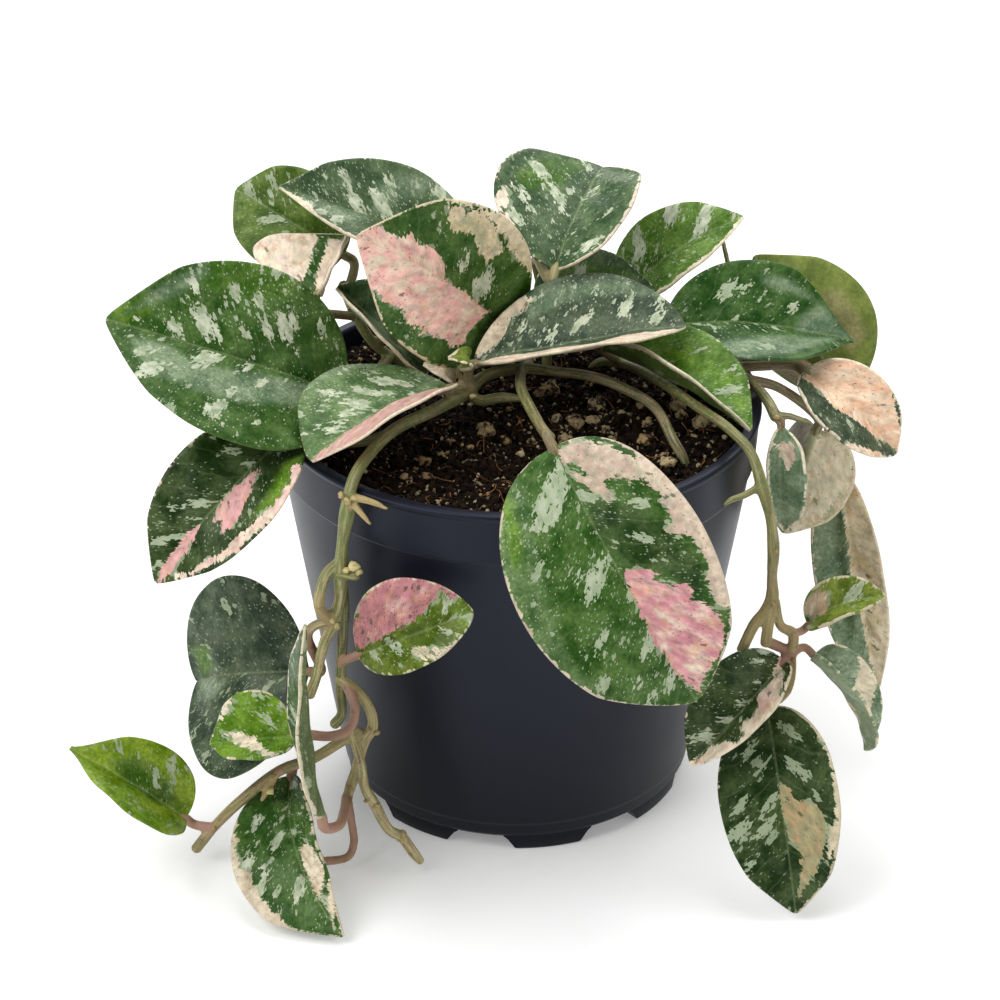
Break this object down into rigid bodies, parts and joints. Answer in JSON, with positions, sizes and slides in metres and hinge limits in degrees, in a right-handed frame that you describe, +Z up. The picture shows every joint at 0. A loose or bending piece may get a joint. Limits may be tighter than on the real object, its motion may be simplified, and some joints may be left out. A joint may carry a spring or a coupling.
{
  "type": "potted hoya plant",
  "caption": "Variegated wax plant with thick oval leaves on trailing vines, rooted in soil in a round tapered nursery pot.",
  "frame": {"origin": "centre of the bounding box seen from above, on the plane the pot's feet stand on", "axes": "+Z up along the pot's axis, -Y towards the side shown in the reference view, +X to that view's right"},
  "size_m": [0.2164, 0.1814, 0.1707],
  "materials": {
    "pot": "satin dark blue-black plastic, smooth, with a brighter rolled lip",
    "soil": "damp dark potting mix with pale bark and perlite lumps",
    "stem": "green to brown woody vine, slightly waxy, with swollen nodes",
    "leaf": "thick waxy leaf, satin, deep green splashed with silver, cream and pink"
  },
  "bodies": {
    "root": {"pot": "pot", "soil": "soil", "vine_main": "stem", "vine_back_left": "stem", "vine_back_right": "stem", "vine_rear": "stem", "vine_right": "stem", "vine_right_back": "stem", "leaf_back_left_round": "leaf", "leaf_back_left_long": "leaf", "leaf_left_folded_pink": "leaf", "leaf_centre_pink": "leaf", "leaf_left_large": "leaf", "leaf_left_rim": "leaf", "leaf_left_pink_streak": "leaf", "leaf_centre_tucked": "leaf", "bud_leaf_upper": "leaf", "bud_leaf_lower": "leaf", "leaf_centre_long": "leaf", "leaf_centre_back": "leaf", "leaf_top": "leaf", "leaf_top_right": "leaf", "leaf_right_dark": "leaf", "leaf_right_olive": "leaf", "leaf_right_pink": "leaf", "leaf_right_rim": "leaf", "leaf_right_pale": "leaf", "leaf_right_behind": "leaf", "leaf_right_tan": "leaf", "leaf_right_small": "leaf", "leaf_right_grey": "leaf", "leaf_right_speckled": "leaf", "leaf_right_lowest": "leaf", "leaf_front_large": "leaf", "leaf_front_small": "leaf", "leaf_low_left_dark": "leaf", "leaf_low_left_bright": "leaf", "leaf_low_left_edge": "leaf", "leaf_low_left_tip": "leaf", "leaf_low_front": "leaf", "leaf_low_hidden": "leaf", "leaf_rear_upper": "leaf", "leaf_rear_right": "leaf", "leaf_rear_low": "leaf"}
  },
  "joints": []
}
